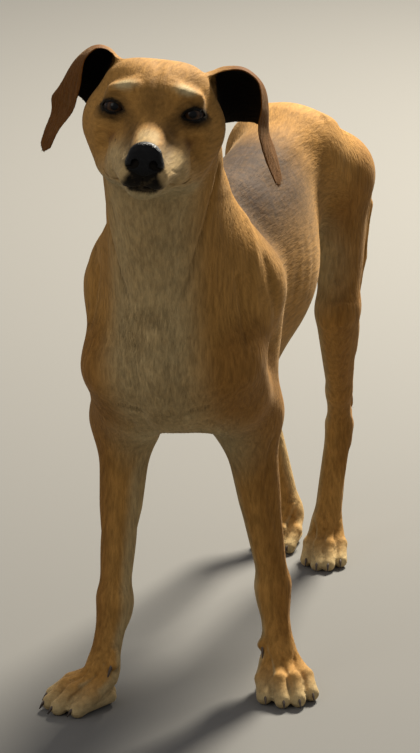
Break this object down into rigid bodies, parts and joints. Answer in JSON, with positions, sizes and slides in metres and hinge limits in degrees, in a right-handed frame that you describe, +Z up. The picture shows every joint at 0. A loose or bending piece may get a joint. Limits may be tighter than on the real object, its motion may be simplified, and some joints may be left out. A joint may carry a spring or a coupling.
{
  "type": "standing dog",
  "caption": "Short-coated fawn dog of medium size with folded ears, standing on its four paws and looking up, as a still life-size figure.",
  "frame": {"origin": "on the floor, under the middle of the dog's box", "axes": "+Z up, -Y the way the dog faces, +X to the dog's own left"},
  "size_m": [0.2634, 0.7624, 0.6983],
  "materials": {
    "fawn_coat": "short fawn hair",
    "pale_coat": "short pale hair",
    "back_coat": "short grey-fawn hair",
    "ear_coat": "very short red-brown hair",
    "nose_leather": "damp black nose leather",
    "eye": "wet, dark brown",
    "claw": "horn, satin"
  },
  "bodies": {
    "root": {"trunk": "back_coat", "neck": "pale_coat", "tail": "fawn_coat", "head": "fawn_coat", "nose": "nose_leather", "ear_left": "ear_coat", "eye_left": "eye", "ear_right": "ear_coat", "eye_right": "eye", "foreleg_left": "fawn_coat", "claw_fore_left_1": "claw", "claw_fore_left_2": "claw", "claw_fore_left_3": "claw", "claw_fore_left_4": "claw", "claw_fore_left_5": "claw", "paw_fore_left": "pale_coat", "foreleg_right": "fawn_coat", "claw_fore_right_1": "claw", "claw_fore_right_2": "claw", "claw_fore_right_3": "claw", "claw_fore_right_4": "claw", "claw_fore_right_5": "claw", "paw_fore_right": "pale_coat", "thigh_left": "fawn_coat", "shank_left": "fawn_coat", "claw_hind_left_1": "claw", "claw_hind_left_2": "claw", "claw_hind_left_3": "claw", "claw_hind_left_4": "claw", "paw_hind_left": "pale_coat", "thigh_right": "fawn_coat", "shank_right": "fawn_coat", "claw_hind_right_1": "claw", "claw_hind_right_2": "claw", "claw_hind_right_3": "claw", "claw_hind_right_4": "claw", "paw_hind_right": "pale_coat"}
  },
  "joints": []
}
